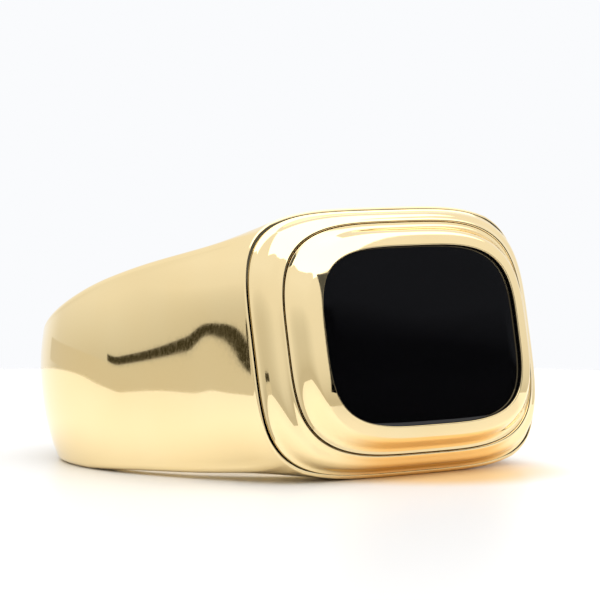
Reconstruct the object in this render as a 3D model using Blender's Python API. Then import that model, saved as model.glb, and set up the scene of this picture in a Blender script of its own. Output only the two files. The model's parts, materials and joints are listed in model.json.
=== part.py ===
"""Signet ring with a cushion-shaped onyx, laid down on its tapered side.

Each piece is drawn head up: X runs round the finger, Y along the finger and Z out through
the middle of the stone, with the middle of the finger hole at zero. One empty then lays
the ring on its side, so that one flank of the shank lies on the ground plane.
"""

import math

import bmesh
import bpy

# Shank, in metres
BORE_RADIUS = 0.0099
BAND_THICKNESS = 0.00205
BACK_WIDTH = 0.00515
BAND_CROWN = 0.0005
CROWN_POWER = 2.3
OUTER_EDGE_ROUND = 0.00035
INNER_EDGE_ROUND = 0.0003
SHOULDER_FADE_START = math.radians(70)
FLANK_FADE_POWER = 2.2
CORNER_SHARE = 0.89

# Head: each outline is a rounded rectangle with a half length, half width and squareness
PLATFORM_THICKNESS = 0.002
PLATFORM_RIM = 0.0002
PLATFORM_FALL = 0.00035
HEAD_STOCK = 0.0008
STEP_FOOT = (0.00954, 0.00695, 4.28)
STEP_HEIGHT = 0.00125
STEP_RIM = 0.00026
STEP_FOOT_EDGE = 0.00013
BROW_ROUNDNESS = 0.52
BEZEL_FOOT = (0.00830, 0.00608, 3.65)
BEZEL_HEIGHT = 0.0009
BEZEL_SHOULDER = (0.00764, 0.00548, 3.30)
BEZEL_SHOULDER_DROP = 0.0002
BEZEL_FOOT_FALL = 0.0003
BEZEL_SHOULDER_FALL = 0.00009
LIP_THICKNESS = 0.00012

# Stone and its setting
STONE = (0.0070, 0.0050, 3.67)
STONE_THICKNESS = 0.0015
STONE_BEVEL_WIDTH = 0.00045
STONE_BEVEL_DEPTH = 0.00022
LIP_OVERLAP = 0.00026
LEDGE_WIDTH = 0.0014
CEMENT_THICKNESS = 0.0001
WINDOW_MARGIN = 0.0003

CLEARANCE = 0.00003

# Mesh fineness
OUTLINE_POINTS = 96
SHANK_SECTIONS = 120
CROWN_STEPS = 6
ROUND_STEPS = 3
CUTTER_CUTS = 24
BROW_STEPS = 5

# Sizes that follow from the ones above
BAND_RADIUS = BORE_RADIUS + BAND_THICKNESS
PLATFORM_LEVEL = BORE_RADIUS + PLATFORM_THICKNESS
PLATFORM = (STEP_FOOT[0] + PLATFORM_RIM, STEP_FOOT[1] + PLATFORM_RIM, STEP_FOOT[2])
PLATFORM_CURVE = PLATFORM_FALL / PLATFORM[0] ** 2
BASE_LEVEL = PLATFORM_LEVEL + CLEARANCE
STEP_TOP = BASE_LEVEL + STEP_HEIGHT
LIP_TOP = STEP_TOP + BEZEL_HEIGHT
STONE_BOTTOM = LIP_TOP - STONE_THICKNESS
CEMENT_BOTTOM = STONE_BOTTOM - CLEARANCE - CEMENT_THICKNESS
SHOULDER_TOP = (PLATFORM[0], PLATFORM_LEVEL - PLATFORM_FALL)
SHOULDER_START = math.atan2(*SHOULDER_TOP)
SHOULDER_END = SHOULDER_START + math.acos(BAND_RADIUS / math.hypot(*SHOULDER_TOP))
TAPER = math.atan2(PLATFORM[1] - BACK_WIDTH / 2, PLATFORM_LEVEL + BAND_RADIUS)
FLANK_AT_AXIS = BACK_WIDTH / 2 + BAND_RADIUS * math.tan(TAPER)

GOLD_COLOUR = (0.83, 0.62, 0.27, 1.0)
ONYX_COLOUR = (0.004, 0.004, 0.005, 1.0)
CEMENT_COLOUR = (0.45, 0.43, 0.38, 1.0)


def clear_scene():
    for thing in list(bpy.data.objects):
        bpy.data.objects.remove(thing, do_unlink=True)


def new_collection(name):
    collection = bpy.data.collections.new(name)
    bpy.context.scene.collection.children.link(collection)
    return collection


def principled(name, colour, metallic, roughness):
    material = bpy.data.materials.new(name)
    material.use_nodes = True
    shader = material.node_tree.nodes["Principled BSDF"]
    shader.inputs["Base Color"].default_value = colour
    shader.inputs["Metallic"].default_value = metallic
    shader.inputs["Roughness"].default_value = roughness
    return material


def offset_outline(outline, distance):
    half_length, half_width, squareness = outline
    return half_length + distance, half_width + distance, squareness


def window_outline():
    return offset_outline(STONE, -LEDGE_WIDTH)


def outline_loop(outline, level, curve=0.0):
    """Points round a rounded rectangle; the level falls away as x squared times curve."""
    half_length, half_width, squareness = outline
    points = []
    for index in range(OUTLINE_POINTS):
        angle = 2 * math.pi * (index + 0.5) / OUTLINE_POINTS
        across = abs(math.cos(angle) / half_length) ** squareness
        along = abs(math.sin(angle) / half_width) ** squareness
        reach = (across + along) ** (-1 / squareness)
        x = reach * math.cos(angle)
        points.append((x, reach * math.sin(angle), level - curve * x * x))
    return points


def loft(name, loops, collection, material, ends_meet):
    """Skin over loops of equal length, either round into a ring or capped at both ends."""
    mesh = bpy.data.meshes.new(name)
    build = bmesh.new()
    rows = [[build.verts.new(point) for point in loop] for loop in loops]
    pairs = list(zip(rows, rows[1:]))
    if ends_meet:
        pairs.append((rows[-1], rows[0]))
    else:
        build.faces.new(rows[0])
        build.faces.new(rows[-1])
    for row, following in pairs:
        for index, vertex in enumerate(row):
            after = (index + 1) % len(row)
            build.faces.new((vertex, row[after], following[after], following[index]))
    bmesh.ops.recalc_face_normals(build, faces=build.faces)
    build.to_mesh(mesh)
    build.free()
    piece = bpy.data.objects.new(name, mesh)
    collection.objects.link(piece)
    mesh.materials.append(material)
    return piece


def shade_round(piece, angle=math.radians(30)):
    piece.data.shade_smooth()
    piece.data.set_sharp_from_angle(angle=angle)


def between(start, end, share):
    return start + (end - start) * share


def smooth_step(value):
    value = min(max(value, 0.0), 1.0)
    return value * value * (3 - 2 * value)


def platform_edge(share, size, squareness):
    """How far a rounded rectangle has drawn in from its full size at a share of its side."""
    held = share / (1 + (share / CORNER_SHARE) ** 10) ** 0.1
    return size * (1 - (1 - held ** squareness) ** (1 / squareness))


def flank_height(x, z):
    """Half width of the shank at a place seen along the finger."""
    height = FLANK_AT_AXIS + z * math.tan(TAPER)
    fade = max(z / PLATFORM_LEVEL, 0.0) ** FLANK_FADE_POWER
    relief = platform_edge(abs(x) / PLATFORM[0], PLATFORM[1], PLATFORM[2])
    return height - fade * relief


def outer_radius(angle, across):
    """Radius of the outer face, angle from the head's middle, across along the finger."""
    turn = min(angle, 2 * math.pi - angle)
    share = min(across / flank_height(0, BAND_RADIUS * math.cos(turn)), 1.0)
    band_drop = BAND_CROWN * share ** CROWN_POWER
    head_drop = platform_edge(across / PLATFORM[1], PLATFORM[0], PLATFORM[2])
    blend = smooth_step((SHOULDER_FADE_START - turn) / (SHOULDER_FADE_START - SHOULDER_START))
    drop = between(band_drop, head_drop, blend)
    radius = BAND_RADIUS - drop
    if turn < SHOULDER_END:
        radius /= math.cos(SHOULDER_END - max(turn, SHOULDER_START / 2))
    if turn < SHOULDER_START:
        stock_top = PLATFORM_LEVEL + HEAD_STOCK
        radius = min(radius, stock_top / math.cos(turn))
    return radius


def section_half(angle):
    """One half of a shank section, as radius and height, from the outer crown inwards."""
    turn_x, turn_z = math.sin(angle), math.cos(angle)

    def height_at(radius):
        return flank_height(radius * turn_x, radius * turn_z)

    crown = outer_radius(angle, 0.0)
    edge_height = height_at(outer_radius(angle, height_at(crown)))
    top = edge_height - OUTER_EDGE_ROUND
    half = []
    for step in range(CROWN_STEPS + 1):
        across = top * step / CROWN_STEPS
        half.append((outer_radius(angle, across), across))
    edge_radius = half[-1][0]
    for step in range(1, ROUND_STEPS + 1):
        sweep = math.radians(90) * step / ROUND_STEPS
        radius = edge_radius - OUTER_EDGE_ROUND * (1 - math.cos(sweep))
        rise = OUTER_EDGE_ROUND * (1 - math.sin(sweep))
        half.append((radius, height_at(radius) - rise))
    for step in range(ROUND_STEPS + 1):
        sweep = math.radians(90) * step / ROUND_STEPS
        radius = BORE_RADIUS + INNER_EDGE_ROUND * (1 - math.sin(sweep))
        rise = INNER_EDGE_ROUND * (1 - math.cos(sweep))
        half.append((radius, height_at(radius) - rise))
    return half


def section_loop(angle):
    half = section_half(angle)
    mirrored = [(radius, -height) for radius, height in reversed(half[1:])]
    loop = [*half, *mirrored]
    return [(radius * math.sin(angle), height, radius * math.cos(angle))
            for radius, height in loop]


def mark_cutter(cutter):
    cutter.hide_render = True
    cutter.display_type = "WIRE"
    return cutter


def add_head_cutter(collection, material):
    """A block whose underside is the crowned top of the head platform."""
    build = bmesh.new()
    bmesh.ops.create_cube(build, size=1.0)
    size = (3 * PLATFORM[0], 3 * PLATFORM[1], 2 * BAND_RADIUS)
    bmesh.ops.scale(build, vec=size, verts=build.verts)
    lengthwise = [edge for edge in build.edges if edge.verts[0].co.x * edge.verts[1].co.x < 0]
    bmesh.ops.subdivide_edges(build, edges=lengthwise, cuts=CUTTER_CUTS, use_grid_fill=True)
    for vertex in build.verts:
        fall = PLATFORM_CURVE * vertex.co.x ** 2 if vertex.co.z < 0 else 0.0
        vertex.co.z += PLATFORM_LEVEL + BAND_RADIUS - fall
    mesh = bpy.data.meshes.new("head_cutter")
    build.to_mesh(mesh)
    build.free()
    mesh.materials.append(material)
    cutter = bpy.data.objects.new("head_cutter", mesh)
    collection.objects.link(cutter)
    return mark_cutter(cutter)


def add_window_cutter(collection, material):
    opening = offset_outline(window_outline(), WINDOW_MARGIN)
    loops = [outline_loop(opening, BORE_RADIUS / 2), outline_loop(opening, LIP_TOP)]
    return mark_cutter(loft("window_cutter", loops, collection, material, ends_meet=False))


def cut(piece, cutter):
    difference = piece.modifiers.new(cutter.name, "BOOLEAN")
    difference.operation = "DIFFERENCE"
    difference.solver = "EXACT"
    difference.object = cutter


def make_shank(parts, shank_cutters, gold):
    sections = []
    for index in range(SHANK_SECTIONS):
        sections.append(section_loop(2 * math.pi * (index + 0.5) / SHANK_SECTIONS))
    shank = loft("shank", sections, parts, gold, ends_meet=True)
    for cutter in shank_cutters:
        cut(shank, cutter)
    shade_round(shank)
    return shank


def make_step_frame(parts, gold):
    """Lower step: a narrow level rim beside the bezel, then a convex fall to its foot."""
    inside = offset_outline(BEZEL_FOOT, CLEARANCE)
    rim = offset_outline(inside, STEP_RIM)
    curve = BEZEL_FOOT_FALL / BEZEL_FOOT[0] ** 2
    loops = [
        outline_loop(inside, BASE_LEVEL, PLATFORM_CURVE),
        outline_loop(inside, STEP_TOP, curve),
        outline_loop(rim, STEP_TOP, curve),
    ]
    foot_level = BASE_LEVEL + STEP_FOOT_EDGE
    for step in range(1, BROW_STEPS + 1):
        share = step / BROW_STEPS
        sweep = math.radians(90) * share
        reach = between(share, math.sin(sweep), BROW_ROUNDNESS)
        fall = between(share, 1 - math.cos(sweep), BROW_ROUNDNESS)
        outline = tuple(between(a, b, reach) for a, b in zip(rim, STEP_FOOT))
        level = between(STEP_TOP, foot_level, fall)
        loops.append(outline_loop(outline, level, between(curve, PLATFORM_CURVE, share)))
    loops.append(outline_loop(STEP_FOOT, BASE_LEVEL, PLATFORM_CURVE))
    frame = loft("step_frame", loops, parts, gold, ends_meet=True)
    shade_round(frame)
    return frame


def make_bezel(parts, gold):
    """Upper step: a collar round the stone with its lip rubbed over the stone's bevel."""
    inside = offset_outline(STONE, CLEARANCE)
    opening = offset_outline(STONE, -LIP_OVERLAP)
    slope = STONE_BEVEL_DEPTH / STONE_BEVEL_WIDTH
    under_lip = LIP_TOP - LIP_THICKNESS
    bevel_foot = under_lip - (LIP_OVERLAP + CLEARANCE) * slope
    foot_curve = BEZEL_FOOT_FALL / BEZEL_FOOT[0] ** 2
    shoulder_curve = BEZEL_SHOULDER_FALL / BEZEL_SHOULDER[0] ** 2
    loops = [
        outline_loop(inside, BASE_LEVEL, PLATFORM_CURVE),
        outline_loop(inside, bevel_foot),
        outline_loop(opening, under_lip),
        outline_loop(opening, LIP_TOP),
        outline_loop(BEZEL_SHOULDER, LIP_TOP - BEZEL_SHOULDER_DROP, shoulder_curve),
        outline_loop(BEZEL_FOOT, STEP_TOP, foot_curve),
        outline_loop(BEZEL_FOOT, BASE_LEVEL, PLATFORM_CURVE),
    ]
    bezel = loft("bezel", loops, parts, gold, ends_meet=True)
    shade_round(bezel)
    return bezel


def make_seat_plate(parts, gold):
    """Pierced plate inside the bezel, level on top so that the flat stone lies on it."""
    outside = offset_outline(STONE, -CLEARANCE)
    top = CEMENT_BOTTOM - CLEARANCE
    loops = [
        outline_loop(outside, BASE_LEVEL, PLATFORM_CURVE),
        outline_loop(outside, top),
        outline_loop(window_outline(), top),
        outline_loop(window_outline(), BASE_LEVEL, PLATFORM_CURVE),
    ]
    return loft("seat_plate", loops, parts, gold, ends_meet=True)


def make_cement_bed(parts, cement):
    outside = offset_outline(STONE, -2 * CLEARANCE)
    inside = offset_outline(window_outline(), CLEARANCE)
    loops = [
        outline_loop(outside, CEMENT_BOTTOM),
        outline_loop(outside, CEMENT_BOTTOM + CEMENT_THICKNESS),
        outline_loop(inside, CEMENT_BOTTOM + CEMENT_THICKNESS),
        outline_loop(inside, CEMENT_BOTTOM),
    ]
    return loft("cement_bed", loops, parts, cement, ends_meet=True)


def make_onyx(parts, onyx):
    """Flat-backed cushion tablet, its top edge bevelled to pass under the bezel lip."""
    under_lip = LIP_TOP - LIP_THICKNESS - CLEARANCE
    slope = STONE_BEVEL_DEPTH / STONE_BEVEL_WIDTH
    face = offset_outline(STONE, -LIP_OVERLAP - LIP_THICKNESS)
    loops = [
        outline_loop(STONE, STONE_BOTTOM),
        outline_loop(STONE, under_lip - LIP_OVERLAP * slope),
        outline_loop(offset_outline(STONE, -LIP_OVERLAP), under_lip),
        outline_loop(face, under_lip + LIP_THICKNESS * slope),
        outline_loop(offset_outline(STONE, -STONE_BEVEL_WIDTH - LIP_THICKNESS), LIP_TOP),
    ]
    stone = loft("onyx", loops, parts, onyx, ends_meet=False)
    shade_round(stone)
    return stone


def lay_down(pieces, collection):
    """Turn the ring so that one tapered flank is level, and stand it on the ground plane."""
    laid = bpy.data.objects.new("laid_on_its_side", None)
    laid.empty_display_size = BAND_RADIUS
    collection.objects.link(laid)
    for piece in pieces:
        piece.parent = laid
    laid.rotation_euler = (math.radians(90) - TAPER, 0, 0)
    front = LIP_TOP * math.cos(TAPER) + STONE[1] * math.sin(TAPER)
    back = BAND_RADIUS * math.cos(TAPER) + BACK_WIDTH / 4 * math.sin(TAPER)
    laid.location = (0, (front - back) / 2, FLANK_AT_AXIS * math.cos(TAPER))


def main():
    clear_scene()
    parts = new_collection("signet_ring")
    cutters = new_collection("cutters")
    gold = principled("yellow_gold", GOLD_COLOUR, 1.0, 0.08)
    onyx = principled("black_onyx", ONYX_COLOUR, 0.0, 0.05)
    cement = principled("setting_cement", CEMENT_COLOUR, 0.0, 0.6)
    shank_cutters = [add_head_cutter(cutters, gold), add_window_cutter(cutters, gold)]
    pieces = [
        make_shank(parts, shank_cutters, gold),
        make_step_frame(parts, gold),
        make_bezel(parts, gold),
        make_seat_plate(parts, gold),
        make_cement_bed(parts, cement),
        make_onyx(parts, onyx),
    ]
    lay_down([*pieces, *shank_cutters], parts)


main()
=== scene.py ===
import json
import math

import bmesh
import bpy
from mathutils import Matrix, Vector


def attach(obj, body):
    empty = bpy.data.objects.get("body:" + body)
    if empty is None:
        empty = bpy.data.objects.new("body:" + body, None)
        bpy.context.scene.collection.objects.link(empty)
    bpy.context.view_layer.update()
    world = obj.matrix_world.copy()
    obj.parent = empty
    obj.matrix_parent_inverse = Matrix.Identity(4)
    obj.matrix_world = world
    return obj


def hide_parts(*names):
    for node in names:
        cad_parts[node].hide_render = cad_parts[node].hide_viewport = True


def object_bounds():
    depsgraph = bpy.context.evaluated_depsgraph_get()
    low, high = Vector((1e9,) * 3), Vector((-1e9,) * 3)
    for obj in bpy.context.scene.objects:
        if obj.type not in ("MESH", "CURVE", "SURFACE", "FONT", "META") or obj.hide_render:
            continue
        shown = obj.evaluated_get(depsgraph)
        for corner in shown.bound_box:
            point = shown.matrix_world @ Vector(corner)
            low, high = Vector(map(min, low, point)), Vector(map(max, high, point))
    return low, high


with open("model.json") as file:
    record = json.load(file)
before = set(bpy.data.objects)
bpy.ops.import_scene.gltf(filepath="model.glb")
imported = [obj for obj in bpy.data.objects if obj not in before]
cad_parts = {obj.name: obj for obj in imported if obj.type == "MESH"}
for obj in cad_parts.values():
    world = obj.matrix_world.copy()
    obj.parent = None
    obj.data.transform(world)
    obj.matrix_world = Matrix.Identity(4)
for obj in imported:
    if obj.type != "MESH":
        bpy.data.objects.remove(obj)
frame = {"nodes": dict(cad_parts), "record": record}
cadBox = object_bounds()

mm = 0.001

# The pieces are drawn head up, X round the finger, Y along it and Z out through the stone.
# The record's finger mount says where the middle of the hole is and how the ring leans.
finger = next(m for m in frame["record"]["mounts"] if m["name"] == "finger")
fingerMiddle = Vector(finger["pos_m"])
lean = math.atan2(finger["axis"][1], finger["axis"][2])
layDown = Matrix.Translation(fingerMiddle) @ Matrix.Rotation(math.radians(90) - lean, 4, "X")


def linear(hexColour):
    channels = [int(hexColour[i:i + 2], 16) / 255 for i in (1, 3, 5)]
    return [c / 12.92 if c <= 0.04045 else ((c + 0.055) / 1.055) ** 2.4 for c in channels] + [1.0]


def between(start, end, share):
    return start + (end - start) * share


def smoothStep(value):
    value = min(max(value, 0.0), 1.0)
    return value * value * (3 - 2 * value)


def addNode(tree, kind, settings=None, inputs=None, links=None):
    # one node with its settings, its socket values and the links that come into it
    node = tree.nodes.new(kind)
    for key, value in (settings or {}).items():
        setattr(node, key, value)
    for key, value in (inputs or {}).items():
        node.inputs[key].default_value = value
    for key, socket in (links or {}).items():
        tree.links.new(socket, node.inputs[key])
    return node


def newMaterial(name):
    material = bpy.data.materials.new(name)
    material.use_nodes = True
    tree = material.node_tree
    tree.nodes.clear()
    return material, tree


# ---------- finishes

def polishedGold():
    # 14 carat yellow gold, cast and hand polished: a pale warm mirror, with hairlines from
    # the polishing mop and a faint waviness that only shows where a reflection has an edge
    material, tree = newMaterial("polished14kYellowGold")
    look = {
        "bright": "#FCE7B6",
        "deep": "#FBE2AC",
        "roughness": (0.028, 0.062),
        "waveMm": 3.2,
        "hairlineMm": 0.09,
    }
    coords = addNode(tree, "ShaderNodeTexCoord")
    wave = addNode(tree, "ShaderNodeTexNoise", inputs={"Scale": 1 / (look["waveMm"] * mm), "Detail": 1.0},
                   links={"Vector": coords.outputs["Object"]})
    hairMap = addNode(tree, "ShaderNodeMapping",
                      inputs={"Scale": (0.12, 1.0, 0.35), "Rotation": (0.2, 0.5, 0.9)},
                      links={"Vector": coords.outputs["Object"]})
    hair = addNode(tree, "ShaderNodeTexNoise",
                   inputs={"Scale": 1 / (look["hairlineMm"] * mm), "Detail": 2.0},
                   links={"Vector": hairMap.outputs["Vector"]})
    tone = addNode(tree, "ShaderNodeMix", {"data_type": "RGBA"}, links={"Factor": wave.outputs["Fac"]})
    tone.inputs["A"].default_value = linear(look["deep"])
    tone.inputs["B"].default_value = linear(look["bright"])
    sheen = addNode(tree, "ShaderNodeMapRange", inputs={"From Min": 0.35, "From Max": 0.75,
                    "To Min": look["roughness"][0], "To Max": look["roughness"][1]},
                    links={"Value": hair.outputs["Fac"]})
    ripple = addNode(tree, "ShaderNodeBump", inputs={"Strength": 0.05, "Distance": 0.02 * mm},
                     links={"Height": wave.outputs["Fac"]})
    scratch = addNode(tree, "ShaderNodeBump", inputs={"Strength": 0.012, "Distance": 0.004 * mm},
                      links={"Height": hair.outputs["Fac"], "Normal": ripple.outputs["Normal"]})
    gold = addNode(tree, "ShaderNodeBsdfPrincipled", inputs={"Metallic": 1.0},
                   links={"Base Color": tone.outputs["Result"], "Roughness": sheen.outputs["Result"],
                          "Normal": scratch.outputs["Normal"]})
    addNode(tree, "ShaderNodeOutputMaterial", links={"Surface": gold.outputs["BSDF"]})
    return material


def polishedOnyx():
    # black onyx, dyed chalcedony polished flat on a lap: jet black with a glassy skin, and
    # faint cloudy banding that shows only where strong light strikes it
    material, tree = newMaterial("polishedBlackOnyx")
    look = {
        "black": "#040405",
        "cloud": "#0B0B0D",
        "cloudMm": 4.5,
        "ior": 1.54,
        "roughness": (0.01, 0.035),
        "smearMm": 2.5,
    }
    coords = addNode(tree, "ShaderNodeTexCoord")
    bands = addNode(tree, "ShaderNodeMapping", inputs={"Scale": (0.35, 1.0, 1.6)},
                    links={"Vector": coords.outputs["Object"]})
    cloud = addNode(tree, "ShaderNodeTexNoise", inputs={"Scale": 1 / (look["cloudMm"] * mm), "Detail": 4.0},
                    links={"Vector": bands.outputs["Vector"]})
    body = addNode(tree, "ShaderNodeMix", {"data_type": "RGBA"}, links={"Factor": cloud.outputs["Fac"]})
    body.inputs["A"].default_value = linear(look["black"])
    body.inputs["B"].default_value = linear(look["cloud"])
    smear = addNode(tree, "ShaderNodeTexNoise", inputs={"Scale": 1 / (look["smearMm"] * mm), "Detail": 3.0},
                    links={"Vector": coords.outputs["Object"]})
    polish = addNode(tree, "ShaderNodeMapRange", inputs={"From Min": 0.4, "From Max": 0.7,
                     "To Min": look["roughness"][0], "To Max": look["roughness"][1]},
                     links={"Value": smear.outputs["Fac"]})
    onyx = addNode(tree, "ShaderNodeBsdfPrincipled", inputs={"IOR": look["ior"]},
                   links={"Base Color": body.outputs["Result"], "Roughness": polish.outputs["Result"]})
    addNode(tree, "ShaderNodeOutputMaterial", links={"Surface": onyx.outputs["BSDF"]})
    return material


def setCement():
    # jeweller's cement, set hard: a dull putty-coloured film, pitted where bubbles were trapped
    material, tree = newMaterial("setJewellersCement")
    look = {"clear": "#B9AE94", "bubbly": "#8E836B", "bubbleMm": 0.15}
    coords = addNode(tree, "ShaderNodeTexCoord")
    bubbles = addNode(tree, "ShaderNodeTexVoronoi", inputs={"Scale": 1 / (look["bubbleMm"] * mm)},
                      links={"Vector": coords.outputs["Object"]})
    tone = addNode(tree, "ShaderNodeMix", {"data_type": "RGBA"}, links={"Factor": bubbles.outputs["Distance"]})
    tone.inputs["A"].default_value = linear(look["bubbly"])
    tone.inputs["B"].default_value = linear(look["clear"])
    pits = addNode(tree, "ShaderNodeBump", inputs={"Strength": 0.3, "Distance": 0.02 * mm},
                   links={"Height": bubbles.outputs["Distance"]})
    cement = addNode(tree, "ShaderNodeBsdfPrincipled", inputs={"Roughness": 0.45, "IOR": 1.5},
                     links={"Base Color": tone.outputs["Result"], "Normal": pits.outputs["Normal"]})
    addNode(tree, "ShaderNodeOutputMaterial", links={"Surface": cement.outputs["BSDF"]})
    return material


gold = polishedGold()
onyxFinish = polishedOnyx()
cementFinish = setCement()
print("finishes made")


# ---------- shaping

def spunPiece(count, steps, axis, place, closed=True):
    # A straight row of points, one unit apart, is spun right round the axis, and every point
    # of the grid that this leaves is then moved by place(index, angle) to where it belongs.
    build = bmesh.new()
    out = Vector((0, 0, 1)) if axis.y else Vector((1, 0, 0))
    row = [build.verts.new(out * (1 + index)) for index in range(count)]
    edges = [build.edges.new(pair) for pair in zip(row, row[1:])]
    if closed:
        edges.append(build.edges.new((row[-1], row[0])))
    bmesh.ops.spin(build, geom=row + edges, cent=(0, 0, 0), axis=axis, dvec=(0, 0, 0),
                   angle=math.radians(360), steps=steps, use_merge=True, use_duplicate=False)
    for vert in build.verts:
        co = vert.co
        angle = math.atan2(co.x, co.z) if axis.y else math.atan2(co.y, co.x)
        vert.co = place(round(co.length) - 1, angle)
    return build


def roundedRect(outline, angle):
    halfLength, halfWidth, squareness = outline
    across = abs(math.cos(angle) / halfLength) ** squareness
    along = abs(math.sin(angle) / halfWidth) ** squareness
    reach = (across + along) ** (-1 / squareness)
    return reach * math.cos(angle), reach * math.sin(angle)


def offset(outline, distance):
    return outline[0] + distance, outline[1] + distance, outline[2]


def softened(stations, cornerSteps=6):
    # stations are (outline, level, fall at the ends, corner radius); each corner is rounded
    flat = [([*outline, level, fall], radius) for outline, level, fall, radius in stations]
    result = []
    for index, (here, radius) in enumerate(flat):
        before = flat[index - 1][0]
        after = flat[(index + 1) % len(flat)][0]
        if radius == 0:
            result.append(here)
            continue
        runIn = math.hypot(before[0] - here[0], before[3] - here[3])
        runOut = math.hypot(after[0] - here[0], after[3] - here[3])
        first = [between(h, b, min(radius / runIn, 0.5)) for h, b in zip(here, before)]
        last = [between(h, a, min(radius / runOut, 0.5)) for h, a in zip(here, after)]
        for step in range(cornerSteps + 1):
            share = step / cornerSteps
            result.append([between(between(f, h, share), between(h, l, share), share)
                           for f, h, l in zip(first, here, last)])
    return result


def stationPoint(station, angle):
    x, y = roundedRect(station[:3], angle)
    return Vector((x, y, station[3] - station[4] * (x / station[0]) ** 2))


def finishPiece(build, name, finish, node, sharpAngle=40):
    bmesh.ops.remove_doubles(build, verts=build.verts, dist=0.0005 * mm)
    bmesh.ops.recalc_face_normals(build, faces=build.faces)
    build.transform(layDown)
    mesh = bpy.data.meshes.new(name)
    build.to_mesh(mesh)
    build.free()
    mesh.materials.append(finish)
    mesh.shade_smooth()
    mesh.set_sharp_from_angle(angle=math.radians(sharpAngle))
    piece = bpy.data.objects.new(name, mesh)
    bpy.context.scene.collection.objects.link(piece)
    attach(piece, "root")
    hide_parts(node)
    return piece


# ---------- sizes shared by the steps of the head

head = {
    "platform": (9.74 * mm, 7.15 * mm, 4.28),
    "platformLevel": 11.9 * mm,
    "platformFall": 0.35 * mm,
    "stepFoot": (9.54 * mm, 6.95 * mm, 4.28),
    "bezelFoot": (8.30 * mm, 6.08 * mm, 3.65),
    "bezelShoulder": (7.64 * mm, 5.48 * mm, 3.30),
    "stone": (7.0 * mm, 5.0 * mm, 3.67),
    "stepTop": 13.18 * mm,
    "lipTop": 14.08 * mm,
    "footFall": 0.30 * mm,
    "shoulderFall": 0.09 * mm,
    "gap": 0.03 * mm,
}
baseLevel = head["platformLevel"] + head["gap"]
outlineSteps = 320


def makeStone():
    stone = {
        "thickness": 1.5 * mm,
        "bevelWidth": 0.80 * mm,
        "bevelDepth": 0.18 * mm,
        "dome": 0.05 * mm,
        "sunk": 0.08 * mm,
        "rings": 9,
    }
    top = head["lipTop"] - stone["sunk"]
    bottom = head["lipTop"] - stone["thickness"]
    girdle = offset(head["stone"], -0.01 * mm)
    face = offset(head["stone"], -stone["bevelWidth"])
    edge = top - stone["bevelDepth"]
    corner = softened([
        (girdle, bottom, 0, 0), (girdle, edge, 0, 0.04 * mm), (face, top - stone["dome"], 0, 0.36 * mm),
        (offset(face, -0.5 * mm), top - stone["dome"] * 0.86, 0, 0)], 8)
    inner = []
    for ring in range(stone["rings"]):
        share = (1 - ring / stone["rings"]) * (1 - 0.5 * mm / face[0])
        inner.append([face[0] * share, face[1] * share, between(2.0, face[2], share),
                      top - stone["dome"] * share ** 2, 0])
    under = [[girdle[0] * share, girdle[1] * share, girdle[2], bottom, 0] for share in (0.3, 0.7)]
    stations = under + corner + inner[1:]
    build = spunPiece(len(stations), outlineSteps, Vector((0, 0, 1)),
                      lambda index, angle: stationPoint(stations[index], angle), closed=False)
    bmesh.ops.holes_fill(build, edges=build.edges, sides=outlineSteps)
    return finishPiece(build, "onyxTablet", onyxFinish, "onyx")


def makeBezel():
    bezel = {
        "lipOverlap": 0.26 * mm,
        "lipThickness": 0.12 * mm,
        "shoulderDrop": 0.2 * mm,
        "cove": 0.24 * mm,
    }
    opening = offset(head["stone"], -bezel["lipOverlap"])
    inside = offset(head["stone"], head["gap"] / 2)
    foot = head["bezelFoot"]
    stations = softened([
        (inside, baseLevel, head["platformFall"] * 0.5, 0),
        (inside, head["lipTop"] - 0.30 * mm, 0, 0),
        (opening, head["lipTop"] - bezel["lipThickness"], 0, 0.02 * mm),
        (opening, head["lipTop"], 0, 0.07 * mm),
        (head["bezelShoulder"], head["lipTop"] - bezel["shoulderDrop"], head["shoulderFall"], 0.22 * mm),
        (offset(foot, -bezel["cove"]), head["stepTop"] + 0.05 * mm, head["footFall"] * 0.9, 0.24 * mm),
        (foot, head["stepTop"], head["footFall"], 0.01 * mm),
        (foot, baseLevel, head["platformFall"] * 0.7, 0),
    ], 8)
    build = spunPiece(len(stations), outlineSteps, Vector((0, 0, 1)),
                      lambda index, angle: stationPoint(stations[index], angle))
    return finishPiece(build, "bezelCollar", gold, "bezel", 50)


def makeStep():
    step = {
        "rim": 0.17 * mm,
        "rimDrop": 0.15 * mm,
        "rimSlope": 0.03 * mm,
        "footEdge": 0.03 * mm,
        "cove": 0.16 * mm,
        "brow": 0.55,
    }
    foot = head["stepFoot"]
    inside = offset(head["bezelFoot"], head["gap"])
    rim = offset(inside, step["rim"])
    start = offset(rim, 0.11 * mm)
    brow = tuple(between(a, b, step["brow"]) for a, b in zip(start, foot))
    stations = softened([
        (inside, baseLevel, head["platformFall"] * 0.7, 0),
        (inside, head["stepTop"] - 0.10 * mm, head["footFall"], 0),
        (offset(inside, 0.03 * mm), head["stepTop"], head["footFall"], 0.05 * mm),
        (rim, head["stepTop"] - step["rimSlope"], head["footFall"], 0.08 * mm),
        (start, head["stepTop"] - step["rimDrop"], head["footFall"], 0.12 * mm),
        (brow, head["stepTop"] - 0.40 * mm, head["footFall"] * 1.05, 0.5 * mm),
        (offset(foot, -step["cove"]), baseLevel + 0.09 * mm, head["platformFall"] * 0.94, 0.22 * mm),
        (foot, baseLevel + step["footEdge"], head["platformFall"] * 0.96, 0.01 * mm),
        (offset(foot, -0.01 * mm), baseLevel, head["platformFall"] * 0.96, 0),
    ], 8)
    build = spunPiece(len(stations), outlineSteps, Vector((0, 0, 1)),
                      lambda index, angle: stationPoint(stations[index], angle))
    return finishPiece(build, "lowerStep", gold, "step_frame", 50)


makeStone()
makeBezel()
makeStep()
print("stone and steps made")


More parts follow.
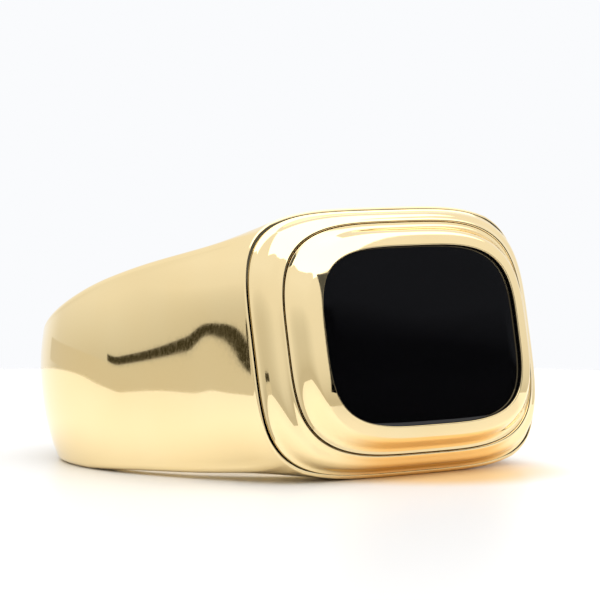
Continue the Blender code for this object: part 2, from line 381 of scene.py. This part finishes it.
# ---------- the shank

shank = {
    "bore": 9.9 * mm,
    "outer": 11.95 * mm,
    "backHalf": 2.575 * mm,
    "crown": 0.5 * mm,
    "crownPower": 2.3,
    "outerRound": 0.35 * mm,
    "innerRound": 0.3 * mm,
    "fadeFrom": math.radians(70),
    "flankPower": 2.2,
    "lowerPower": 5.0,
    "hollow": 0.25 * mm,
    "hollowStart": 22.0,
    "hollowEnd": 97.0,
    "cornerShare": 0.95,
    "stock": 0.8 * mm,
    "crownSteps": 22,
    "roundSteps": 7,
    "flankSteps": 5,
    "boreSteps": 6,
    "sections": 300,
}
shoulderTop = (head["platform"][0], head["platformLevel"] - head["platformFall"])
shoulderStart = math.atan2(*shoulderTop)
shoulderEnd = shoulderStart + math.acos(shank["outer"] / math.hypot(*shoulderTop))
flankAtAxis = shank["backHalf"] + shank["outer"] * math.tan(lean)


def platformEdge(share, size, squareness):
    held = share / (1 + (share / shank["cornerShare"]) ** 10) ** 0.1
    return size * (1 - (1 - held ** squareness) ** (1 / squareness))


def lowerRelief(x, z):
    # underneath, the flank is ground very slightly hollow between the head and the side of the band
    turn = math.degrees(math.atan2(abs(x), z))
    share = (shank["hollowEnd"] - turn) / (shank["hollowEnd"] - shank["hollowStart"])
    hollow = shank["hollow"] * math.sin(math.pi * min(max(share, 0.0), 1.0))
    fade = max(z / head["platformLevel"], 0.0) ** shank["lowerPower"]
    relief = platformEdge(abs(x) / head["platform"][0], head["platform"][1], head["platform"][2])
    return between(hollow, relief, fade)


def flankHeight(x, z, lower=False):
    if lower:
        return flankAtAxis + z * math.tan(lean) - lowerRelief(x, z)
    fade = max(z / head["platformLevel"], 0.0) ** shank["flankPower"]
    relief = platformEdge(abs(x) / head["platform"][0], head["platform"][1], head["platform"][2])
    return flankAtAxis + z * math.tan(lean) - fade * relief


def outerRadius(turn, across):
    share = min(across / flankHeight(0, shank["outer"] * math.cos(turn)), 1.0)
    bandDrop = shank["crown"] * share ** shank["crownPower"]
    headDrop = platformEdge(across / head["platform"][1], head["platform"][0], head["platform"][2])
    blend = smoothStep((shank["fadeFrom"] - turn) / (shank["fadeFrom"] - shoulderStart))
    radius = shank["outer"] - between(bandDrop, headDrop, blend)
    if turn < shoulderEnd:
        radius /= math.cos(shoulderEnd - max(turn, shoulderStart / 2))
    if turn < shoulderStart:
        radius = min(radius, (head["platformLevel"] + shank["stock"]) / math.cos(turn))
    return radius


def sectionHalf(turn, lower=False):
    # from the crown over the edge, down the flank and round into the bore
    def heightAt(radius):
        return flankHeight(radius * math.sin(turn), radius * math.cos(turn), lower)

    top = heightAt(outerRadius(turn, heightAt(outerRadius(turn, 0.0)))) - shank["outerRound"]
    half = [(outerRadius(turn, top * i / shank["crownSteps"]), top * i / shank["crownSteps"])
            for i in range(shank["crownSteps"] + 1)]
    edgeRadius = half[-1][0]
    for i in range(1, shank["roundSteps"] + 1):
        sweep = math.radians(90) * i / shank["roundSteps"]
        radius = edgeRadius - shank["outerRound"] * (1 - math.cos(sweep))
        half.append((radius, heightAt(radius) - shank["outerRound"] * (1 - math.sin(sweep))))
    flankOuter = half[-1][0]
    flankInner = shank["bore"] + shank["innerRound"]
    for i in range(1, shank["flankSteps"]):
        radius = between(flankOuter, flankInner, i / shank["flankSteps"])
        half.append((radius, heightAt(radius)))
    for i in range(shank["roundSteps"] + 1):
        sweep = math.radians(90) * i / shank["roundSteps"]
        radius = shank["bore"] + shank["innerRound"] * (1 - math.sin(sweep))
        half.append((radius, heightAt(radius) - shank["innerRound"] * (1 - math.cos(sweep))))
    boreTop = half[-1][1]
    for i in range(1, shank["boreSteps"] + 1):
        half.append((shank["bore"], boreTop * (1 - i / shank["boreSteps"])))
    return half


rim = {
    "round": 0.08 * mm,
    "steps": 6,
    "slope": math.radians(11),
    "slopeWidth": 0.12 * mm,
    "inward": 0.6 * mm,
    "blend": 2.6 * mm,
    "spread": 20.0,  # how much the outline may grow, as a share for each metre of depth
    "rollDepth": 3.8 * mm,
    "roll": 0.045,
}
rimRise = rim["round"] * math.cos(rim["slope"]) + rim["slopeWidth"] * math.tan(rim["slope"])


def rimProfile():
    # how far the platform's edge goes in and up at each step: rounded, then sloped, then flat
    quarter = math.radians(90) - rim["slope"]
    angles = [quarter * i / rim["steps"] for i in range(rim["steps"] + 1)]
    for first, last in zip(angles, angles[1:]):
        inward = rim["round"] * (math.cos(first) - math.cos(last))
        yield inward, rim["round"] * (math.sin(last) - math.sin(first))
    yield rim["slopeWidth"], rim["slopeWidth"] * math.tan(rim["slope"])
    yield rim["inward"], 0.0


def roundCorners(build):
    # near the platform the shoulders roll over a little, and the corners are drawn in to the
    # platform's own rounded outline
    halfLength, halfWidth, squareness = head["platform"]
    for vert in build.verts:
        depth = head["platformLevel"] - vert.co.z
        if depth > rim["rollDepth"]:
            continue
        across = abs(vert.co.x / halfLength) ** squareness
        along = abs(vert.co.y / halfWidth) ** squareness
        norm = (across + along) ** (1 / squareness)
        allowed = 1 + rim["spread"] * max(depth, 0.0)
        if norm > 1:
            share = min(max(depth / rim["rollDepth"], 0.0), 1.0)
            vert.co.x *= 1 + rim["roll"] * share * (1 - share) ** 2
        if norm > allowed and depth < rim["blend"]:
            pull = (allowed / norm) ** smoothStep(1 - max(depth, 0.0) / rim["blend"])
            vert.co.x *= pull
            vert.co.y *= pull


def makeShank():
    sections = {}

    def place(index, angle):
        turn = abs(angle)
        key = round(turn, 5)
        if key not in sections:
            under = [(radius, -height) for radius, height in reversed(sectionHalf(turn, True)[1:-1])]
            sections[key] = sectionHalf(turn) + under
        radius, height = sections[key][index]
        return Vector((radius * math.sin(angle), height, radius * math.cos(angle)))

    count = 2 * len(sectionHalf(1.0)) - 2
    build = spunPiece(count, shank["sections"], Vector((0, 1, 0)), place)
    bmesh.ops.recalc_face_normals(build, faces=build.faces)

    # the crowned platform is flattened for the cut, and crowned again after it
    curve = head["platformFall"] / head["platform"][0] ** 2
    for vert in [v for v in build.verts if v.co.z > 0]:
        vert.co.z += curve * vert.co.x ** 2
    everything = build.verts[:] + build.edges[:] + build.faces[:]
    bmesh.ops.bisect_plane(build, geom=everything, dist=0.0001 * mm,
                           plane_co=(0, 0, head["platformLevel"] - rimRise),
                           plane_no=(0, 0, 1), clear_outer=True)
    roundCorners(build)
    loop = [e for e in build.edges if e.is_boundary]
    bmesh.ops.remove_doubles(build, verts=list({v for e in loop for v in e.verts}), dist=0.02 * mm)
    loop = [e for e in build.edges if e.is_boundary]
    for inward, rise in rimProfile():
        grown = bmesh.ops.extrude_edge_only(build, edges=loop)["geom"]
        verts = [g for g in grown if isinstance(g, bmesh.types.BMVert)]
        loop = [g for g in grown if isinstance(g, bmesh.types.BMEdge) and g.is_boundary]
        for vert in verts:
            vert.co.x *= 1 - inward / head["platform"][0]
            vert.co.y *= 1 - inward / head["platform"][1]
            vert.co.z += rise
    bmesh.ops.holes_fill(build, edges=loop, sides=0)
    for vert in build.verts:
        if vert.co.z > 0:
            vert.co.z -= curve * vert.co.x ** 2
    return build


def cutWindow(piece):
    # the open back of the setting, cut right through the head behind the stone
    window = {"margin": 1.1 * mm, "from": 5 * mm, "to": 14 * mm}
    outline = offset(head["stone"], -window["margin"])
    build = spunPiece(2, 96, Vector((0, 0, 1)), lambda index, angle: Vector(
        (*roundedRect(outline, angle), window["from"] if index == 0 else window["to"])), closed=False)
    bmesh.ops.holes_fill(build, edges=build.edges, sides=0)
    bmesh.ops.recalc_face_normals(build, faces=build.faces)
    build.transform(layDown)
    mesh = bpy.data.meshes.new("windowCutter")
    build.to_mesh(mesh)
    build.free()
    cutter = bpy.data.objects.new("windowCutter", mesh)
    bpy.context.scene.collection.objects.link(cutter)
    cut = piece.modifiers.new("window", "BOOLEAN")
    cut.operation = "DIFFERENCE"
    cut.solver = "EXACT"
    cut.object = cutter
    bpy.context.view_layer.update()
    done = bpy.data.meshes.new_from_object(piece.evaluated_get(bpy.context.evaluated_depsgraph_get()))
    piece.modifiers.clear()
    piece.data = done
    bpy.data.objects.remove(cutter)
    done.shade_smooth()
    done.set_sharp_from_angle(angle=math.radians(38))


shankPiece = finishPiece(makeShank(), "taperedShank", gold, "shank", 38)
cutWindow(shankPiece)
print("shank made,", len(shankPiece.data.polygons), "faces")

for name, finish in (("seat_plate", gold), ("cement_bed", cementFinish)):
    frame["nodes"][name].data.materials.clear()
    frame["nodes"][name].data.materials.append(finish)


# ---------- table, room and lamps

stage = {
    "azimuth": -42.0,
    "elevation": 3.9,
    "distance": 195.8 * mm,
    "lens": 224.0,
    "aimRight": -6.57 * mm,
    "aimUp": 1.79 * mm,
    "tableWhite": "#F4F4F4",
    # the next three place the painted warm bounce light on the table: how far it reaches, its middle and its colour
    "glow": (4 * mm, 8.5 * mm),
    "paintedBounceMiddle": (2 * mm, -11 * mm, 0),
    "paintedBounceColour": "#F6D29C",
    "tableRadius": 82 * mm,
    "tableForward": 15 * mm,
}


def directionTo(azimuth, elevation):
    a, e = math.radians(azimuth), math.radians(elevation)
    return Vector((math.sin(a) * math.cos(e), -math.cos(a) * math.cos(e), math.sin(e)))


def addMesh(name, build, material):
    mesh = bpy.data.meshes.new(name)
    build.to_mesh(mesh)
    build.free()
    mesh.materials.append(material)
    thing = bpy.data.objects.new(name, mesh)
    bpy.context.scene.collection.objects.link(thing)
    return thing


def tableFinish():
    # white acrylic display stand: even white with a soft satin reflection of what stands on it, apart from a
    # painted warm pool of bounce light close around the ring
    material, tree = newMaterial("whiteAcrylicStand")
    coords = addNode(tree, "ShaderNodeTexCoord")
    # painted bounce light: the warm light the gold throws down on the acrylic close around it is painted into the
    # acrylic's colour
    near = addNode(tree, "ShaderNodeVectorMath", {"operation": "DISTANCE"}, inputs={1: stage["paintedBounceMiddle"]},
                   links={0: coords.outputs["Object"]})
    paintedBounceFade = addNode(tree, "ShaderNodeMapRange", {"interpolation_type": "SMOOTHSTEP"},
                     inputs={"From Min": stage["glow"][0], "From Max": stage["glow"][1]},
                     links={"Value": near.outputs["Value"]})
    shade = addNode(tree, "ShaderNodeMix", {"data_type": "RGBA"}, links={"Factor": paintedBounceFade.outputs["Result"]})
    shade.inputs["A"].default_value = linear(stage["paintedBounceColour"])
    shade.inputs["B"].default_value = linear(stage["tableWhite"])
    acrylic = addNode(tree, "ShaderNodeBsdfPrincipled", inputs={"Roughness": 0.30, "IOR": 1.46},
                      links={"Base Color": shade.outputs["Result"]})
    # the rim of the stand melts into the backdrop
    reach = addNode(tree, "ShaderNodeVectorMath", {"operation": "DISTANCE"}, inputs={1: tableMiddle()},
                    links={0: coords.outputs["Object"]})
    fade = addNode(tree, "ShaderNodeMapRange", {"interpolation_type": "SMOOTHSTEP"},
                   inputs={"From Min": stage["tableRadius"] - 6 * mm, "From Max": stage["tableRadius"]},
                   links={"Value": reach.outputs["Value"]})
    clear = addNode(tree, "ShaderNodeBsdfTransparent")
    melted = addNode(tree, "ShaderNodeMixShader", links={0: fade.outputs["Result"]})
    tree.links.new(acrylic.outputs[0], melted.inputs[1])
    tree.links.new(clear.outputs[0], melted.inputs[2])
    addNode(tree, "ShaderNodeOutputMaterial", links={"Surface": melted.outputs[0]})
    return material


def tableMiddle():
    return directionTo(stage["azimuth"], 0) * stage["tableForward"] - Vector((0, 0, 0.02 * mm))


def makeTable():
    build = bmesh.new()
    bmesh.ops.create_circle(build, cap_ends=True, segments=128, radius=stage["tableRadius"])
    bmesh.ops.translate(build, vec=tableMiddle(), verts=build.verts)
    return addMesh("photoTable", build, tableFinish())


def makeCard(name, azimuth, elevation, roll, distance, width, height, colours):
    # a card that faces the ring; it is seen only in reflections
    material, tree = newMaterial(name + "Paper")
    coords = addNode(tree, "ShaderNodeTexCoord")
    split = addNode(tree, "ShaderNodeSeparateXYZ", links={"Vector": coords.outputs["UV"]})
    ramp = addNode(tree, "ShaderNodeValToRGB", links={"Fac": split.outputs["Y"]})
    ramp.color_ramp.elements[0].position = colours[0][0]
    ramp.color_ramp.elements[0].color = linear(colours[0][1])
    ramp.color_ramp.elements[1].position = colours[1][0]
    ramp.color_ramp.elements[1].color = linear(colours[1][1])
    glow = addNode(tree, "ShaderNodeEmission", inputs={"Strength": 1.0}, links={"Color": ramp.outputs["Color"]})
    addNode(tree, "ShaderNodeOutputMaterial", links={"Surface": glow.outputs[0]})
    build = bmesh.new()
    bmesh.ops.create_grid(build, x_segments=1, y_segments=1, size=0.5, calc_uvs=True)
    if not build.loops.layers.uv:
        build.loops.layers.uv.new("UVMap")
    layer = build.loops.layers.uv.active
    for face in build.faces:
        for corner in face.loops:
            corner[layer].uv = (corner.vert.co.x + 0.5, corner.vert.co.y + 0.5)
    bmesh.ops.scale(build, vec=(width, height, 1), verts=build.verts)
    facing = directionTo(azimuth, elevation)
    turn = facing.to_track_quat("Z", "Y").to_matrix().to_4x4()
    build.transform(Matrix.Translation(ringMiddle + facing * distance) @ turn
                    @ Matrix.Rotation(math.radians(roll), 4, "Z"))
    card = addMesh(name, build, material)
    card.visible_camera = False
    card.visible_diffuse = False
    card.visible_shadow = False
    return card


def addLamp(name, azimuth, elevation, distance, size, power, colour="#FFFFFF"):
    data = bpy.data.lights.new(name, "AREA")
    data.shape = "RECTANGLE"
    data.size, data.size_y = size
    data.energy = power
    data.color = linear(colour)[:3]
    lamp = bpy.data.objects.new(name, data)
    facing = directionTo(azimuth, elevation)
    lamp.matrix_world = (Matrix.Translation(ringMiddle + facing * distance)
                         @ facing.to_track_quat("Z", "Y").to_matrix().to_4x4())
    bpy.context.scene.collection.objects.link(lamp)
    return lamp


ringMiddle = (Vector(cadBox[0]) + Vector(cadBox[1])) / 2

table = makeTable()
cards = (
    # name, azimuth, elevation, roll, distance, width, height, and its colours from the foot up
    ("darkRoomCorner", 38, 13.5, -14.3, 400 * mm, 462 * mm, 237 * mm,
     ((0.475, "#000000"), (0.515, "#55575B"))),
    ("leftPaper", -138, -2.85, 0, 400 * mm, 720 * mm, 30 * mm, ((0.0, "#D9D5CB"), (1.0, "#D9D5CB"))),
    ("leftRail", -111, 0.2, 0, 390 * mm, 170 * mm, 8 * mm, ((0.0, "#3A3626"), (1.0, "#3A3626"))),
)
for card in cards:
    makeCard(*card)
addLamp("overheadSoftbox", 42, 74, 420 * mm, (640 * mm, 640 * mm), 1.55)

world = bpy.data.worlds.new("paleRoom")
bpy.context.scene.world = world
world.use_nodes = True
sky = world.node_tree
sky.nodes.clear()
room = {
    "stops": ((0.0, "#CCC9C1"), (0.12, "#DFDEDA"), (0.26, "#F2F1EF"), (0.60, "#FAFAFA")),
    "sideLift": 0.12,
    "behind": (0.6, 0.92),
    "seen": "#FAFBFD",
}
direction = addNode(sky, "ShaderNodeTexCoord")
parts = addNode(sky, "ShaderNodeSeparateXYZ", links={"Vector": direction.outputs["Generated"]})
away = addNode(sky, "ShaderNodeVectorMath", {"operation": "DOT_PRODUCT"},
               inputs={1: -directionTo(stage["azimuth"], 0)}, links={0: direction.outputs["Generated"]})
lift = addNode(sky, "ShaderNodeMath", {"operation": "MULTIPLY_ADD"},
               inputs={1: room["sideLift"], 2: 0.6 * room["sideLift"]}, links={0: away.outputs["Value"]})
rise = addNode(sky, "ShaderNodeMath", {"operation": "ADD"}, links={0: parts.outputs["Z"], 1: lift.outputs["Value"]})
walls = addNode(sky, "ShaderNodeValToRGB", links={"Fac": rise.outputs["Value"]})
ramp = walls.color_ramp
while len(ramp.elements) < len(room["stops"]):
    ramp.elements.new(0.5)
for element, (position, hexColour) in zip(ramp.elements, room["stops"]):
    element.position = position
    element.color = linear(hexColour)
backdrop = addNode(sky, "ShaderNodeMapRange", {"interpolation_type": "SMOOTHSTEP"},
                   inputs={"From Min": room["behind"][0], "From Max": room["behind"][1]},
                   links={"Value": away.outputs["Value"]})
tone = addNode(sky, "ShaderNodeMix", {"data_type": "RGBA"},
               links={"Factor": backdrop.outputs["Result"], "A": walls.outputs["Color"]})
tone.inputs["B"].default_value = linear(room["seen"])
rays = addNode(sky, "ShaderNodeLightPath")
around = addNode(sky, "ShaderNodeBackground", inputs={"Strength": 1.0}, links={"Color": tone.outputs["Result"]})
behind = addNode(sky, "ShaderNodeBackground", inputs={"Color": linear(room["seen"]), "Strength": 1.0})
chosen = addNode(sky, "ShaderNodeMixShader", links={0: rays.outputs["Is Camera Ray"]})
sky.links.new(around.outputs[0], chosen.inputs[1])
sky.links.new(behind.outputs[0], chosen.inputs[2])
addNode(sky, "ShaderNodeOutputWorld", links={"Surface": chosen.outputs[0]})
print("table, room and lamps set")


# ---------- camera

toCamera = directionTo(stage["azimuth"], stage["elevation"])
stoneMiddle = layDown @ Vector((0, 0, head["lipTop"]))
eye = stoneMiddle + toCamera * stage["distance"]
right = Vector((0, 0, 1)).cross(toCamera).normalized()
up = toCamera.cross(right)
aim = stoneMiddle + right * stage["aimRight"] + up * stage["aimUp"]
camera = bpy.data.objects.new("camera", bpy.data.cameras.new("camera"))
camera.location = eye
camera.rotation_euler = (eye - aim).to_track_quat("Z", "Y").to_euler()
camera.data.lens = stage["lens"]
camera.data.sensor_width = 36.0
camera.data.clip_start = 0.001
bpy.context.scene.collection.objects.link(camera)
bpy.context.scene.camera = camera
bpy.context.scene.view_settings.view_transform = "Standard"
print("camera set")
